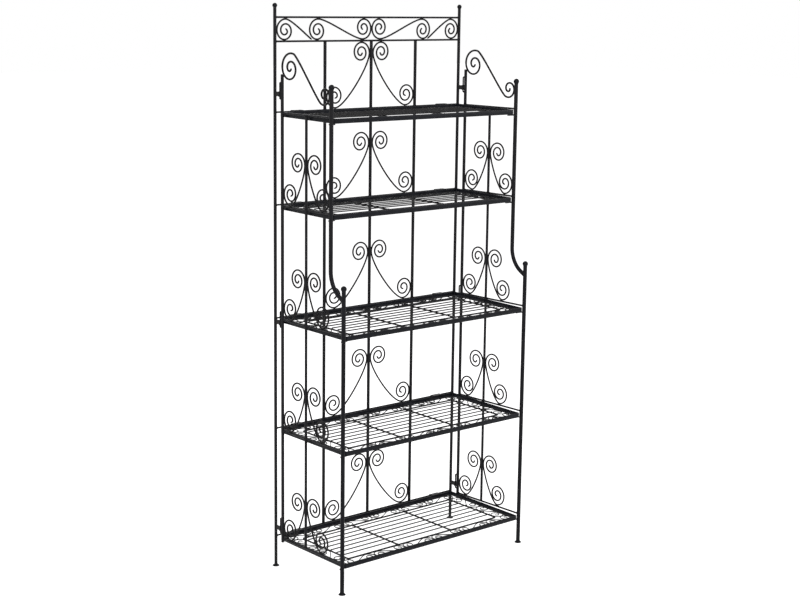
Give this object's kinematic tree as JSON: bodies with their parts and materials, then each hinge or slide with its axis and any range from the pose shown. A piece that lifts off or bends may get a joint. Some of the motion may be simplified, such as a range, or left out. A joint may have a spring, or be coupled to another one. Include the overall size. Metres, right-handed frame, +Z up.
{
  "type": "bakers rack",
  "caption": "Tall open metal kitchen rack with tilting wire shelves, hinged side panels and scrollwork, deeper in its lower part.",
  "frame": {"origin": "on the floor, in the middle of the footprint of the four feet", "axes": "+X to the right, -Y to the front, +Z up"},
  "size_m": [0.7826, 0.356, 1.7685],
  "materials": {
    "frame_tube": "satin black powder coat",
    "shelf_bar": "satin black powder coat",
    "shelf_wire": "satin black powder coat",
    "scroll_wire": "satin black powder coat",
    "hardware": "satin black powder coat",
    "finial": "satin black powder coat"
  },
  "bodies": {
    "back_panel": {"back_bar_center": "frame_tube", "back_bar_left": "frame_tube", "back_bar_right": "frame_tube", "back_feet": "finial", "back_finials": "finial", "back_post_left": "frame_tube", "back_post_right": "frame_tube", "back_rail_1": "frame_tube", "back_rail_2": "frame_tube", "back_rail_3": "frame_tube", "back_rail_4": "frame_tube", "back_rail_5": "frame_tube", "back_scrolls_1": "scroll_wire", "back_scrolls_2": "scroll_wire", "back_scrolls_3": "scroll_wire", "back_scrolls_4": "scroll_wire", "back_scrolls_5": "scroll_wire", "band_rail": "frame_tube", "band_scrolls": "scroll_wire", "hinge_brackets_left": "hardware", "hinge_brackets_right": "hardware", "top_rail": "frame_tube"},
    "left_side": {"front_finials_left": "finial", "hinge_pins_left": "hardware", "lower_front_post_left": "frame_tube", "middle_bar_left": "frame_tube", "rear_post_left": "frame_tube", "shelf_pegs_left": "hardware", "side_rails_left": "frame_tube", "side_scrolls_left": "scroll_wire", "top_scroll_left": "scroll_wire", "upper_front_post_left": "frame_tube"},
    "right_side": {"front_finials_right": "finial", "hinge_pins_right": "hardware", "lower_front_post_right": "frame_tube", "middle_bar_right": "frame_tube", "rear_post_right": "frame_tube", "shelf_pegs_right": "hardware", "side_rails_right": "frame_tube", "side_scrolls_right": "scroll_wire", "top_scroll_right": "scroll_wire", "upper_front_post_right": "frame_tube"},
    "shelf_1": {"shelf_1_border": "shelf_wire", "shelf_1_frame": "shelf_bar", "shelf_1_grid": "shelf_wire"},
    "shelf_2": {"shelf_2_border": "shelf_wire", "shelf_2_frame": "shelf_bar", "shelf_2_grid": "shelf_wire"},
    "shelf_3": {"shelf_3_border": "shelf_wire", "shelf_3_frame": "shelf_bar", "shelf_3_grid": "shelf_wire"},
    "shelf_4": {"shelf_4_border": "shelf_wire", "shelf_4_frame": "shelf_bar", "shelf_4_grid": "shelf_wire"},
    "shelf_5": {"shelf_5_border": "shelf_wire", "shelf_5_frame": "shelf_bar", "shelf_5_grid": "shelf_wire"}
  },
  "joints": [
    {"name": "shelf_1_tilt", "type": "hinge", "parent": "back_panel", "child": "shelf_1", "pos_m": [0, 0.16675, 1.442], "axis": [-1, 0, 0], "range_deg": [0, 50]},
    {"name": "shelf_2_tilt", "type": "hinge", "parent": "back_panel", "child": "shelf_2", "pos_m": [0, 0.16675, 1.159], "axis": [-1, 0, 0], "range_deg": [0, 50]},
    {"name": "shelf_3_tilt", "type": "hinge", "parent": "back_panel", "child": "shelf_3", "pos_m": [0, 0.16675, 0.806], "axis": [-1, 0, 0], "range_deg": [0, 50]},
    {"name": "shelf_4_tilt", "type": "hinge", "parent": "back_panel", "child": "shelf_4", "pos_m": [0, 0.16675, 0.453], "axis": [-1, 0, 0], "range_deg": [0, 50]},
    {"name": "shelf_5_tilt", "type": "hinge", "parent": "back_panel", "child": "shelf_5", "pos_m": [0, 0.16675, 0.1], "axis": [-1, 0, 0], "range_deg": [0, 50]},
    {"name": "left_side_swing", "type": "hinge", "parent": "back_panel", "child": "left_side", "pos_m": [-0.38, 0.14175, 0.806], "axis": [0, 0, -1], "range_deg": [0, 90]},
    {"name": "right_side_swing", "type": "hinge", "parent": "back_panel", "child": "right_side", "pos_m": [0.38, 0.14175, 0.806], "axis": [0, 0, 1], "range_deg": [0, 90]}
  ]
}
